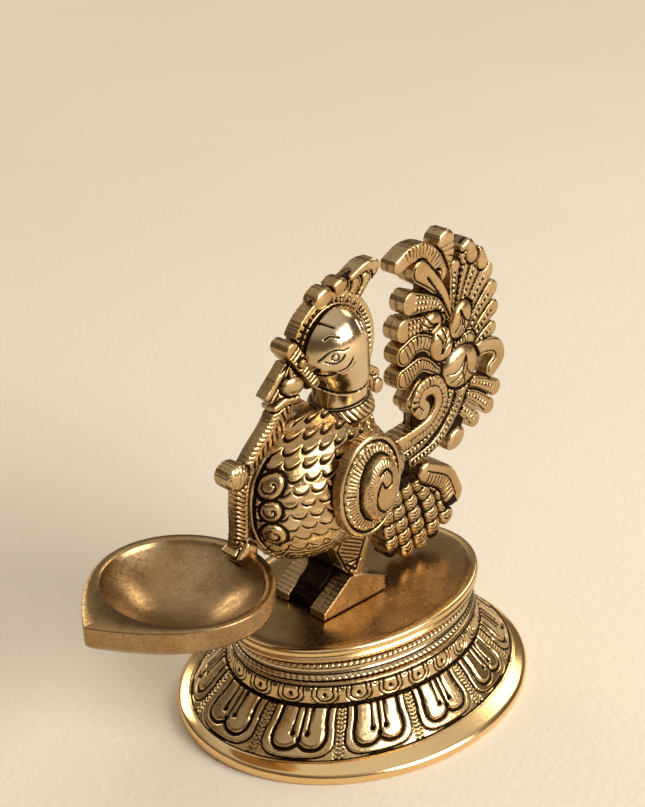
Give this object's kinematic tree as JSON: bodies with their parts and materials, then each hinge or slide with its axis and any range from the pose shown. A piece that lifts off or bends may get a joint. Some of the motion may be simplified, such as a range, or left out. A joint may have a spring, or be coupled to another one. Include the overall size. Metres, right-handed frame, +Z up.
{
  "type": "standing oil lamp",
  "caption": "Cast brass bird oil lamp: a crested bird with a raised fan tail stands on an oval lotus pedestal, and a creeper from its beak holds a pointed oil bowl.",
  "frame": {"origin": "on the standing surface, under the middle of the lamp's overall box, on its plane of symmetry", "axes": "+Z up; the bird and the bowl's spout face -X and the tail is at +X; Y runs across the lamp"},
  "size_m": [0.1502, 0.0912, 0.1286],
  "materials": {
    "antiqued_brass": "polished high spots with dark patina in the engraved lines",
    "polished_brass": "polished",
    "satin_brass": "satin, lightly brushed and slightly blotched",
    "screw_steel": "plain turned",
    "washer_brass": "plain punched"
  },
  "bodies": {
    "root": {"pedestal_skirt": "antiqued_brass", "pedestal_collar": "polished_brass", "deck_plate": "satin_brass", "torso": "antiqued_brass", "neck_ring": "antiqued_brass", "head": "polished_brass", "head_band": "antiqued_brass", "crest": "antiqued_brass", "tail_fan": "antiqued_brass", "tail_coverts": "antiqued_brass", "creeper": "antiqued_brass", "leg_web": "antiqued_brass", "oil_bowl": "satin_brass", "wing_left": "antiqued_brass", "wing_right": "antiqued_brass", "leg_left": "satin_brass", "leg_right": "satin_brass", "foot_screw_left": "screw_steel", "foot_screw_right": "screw_steel", "foot_washer_left": "washer_brass", "foot_washer_right": "washer_brass"}
  },
  "joints": []
}
